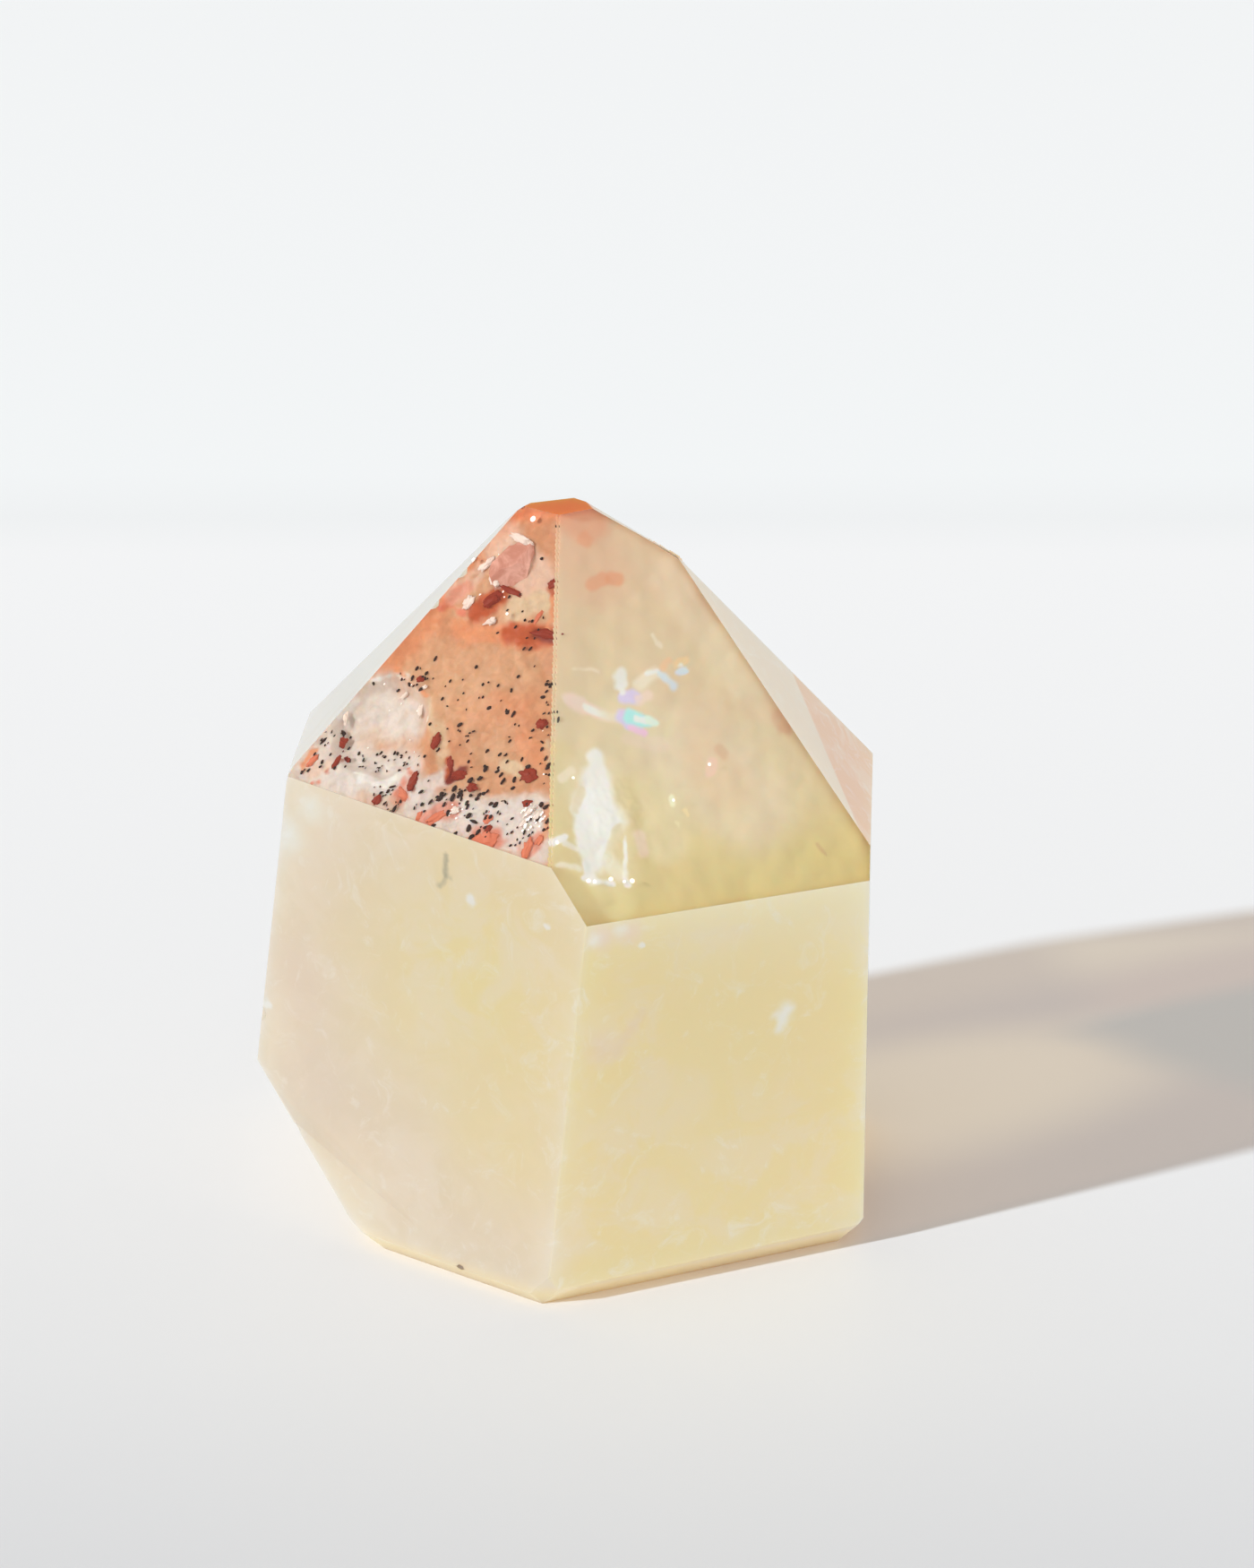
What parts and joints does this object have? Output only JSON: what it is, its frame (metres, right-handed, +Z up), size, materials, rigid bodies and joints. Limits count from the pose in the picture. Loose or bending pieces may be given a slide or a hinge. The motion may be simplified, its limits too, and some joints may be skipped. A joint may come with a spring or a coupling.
{
  "type": "citrine tower",
  "caption": "Squat polished citrine point with slanting crown facets, a blunt tip, an undercut side and a flat bevelled base.",
  "frame": {"origin": "on the base plane, under the centre of the bounding box", "axes": "+Z up through the tip; +X to the right of the stone as pictured; the front, with the front edge between the two front walls, faces -Y"},
  "size_m": [0.0576, 0.0508, 0.0675],
  "materials": {
    "quartz": "polished milky yellow quartz, clear in places, with orange and dark red iron oxide inclusions under the front left crown facet"
  },
  "bodies": {
    "root": {"citrine_tower": "quartz"}
  },
  "joints": []
}
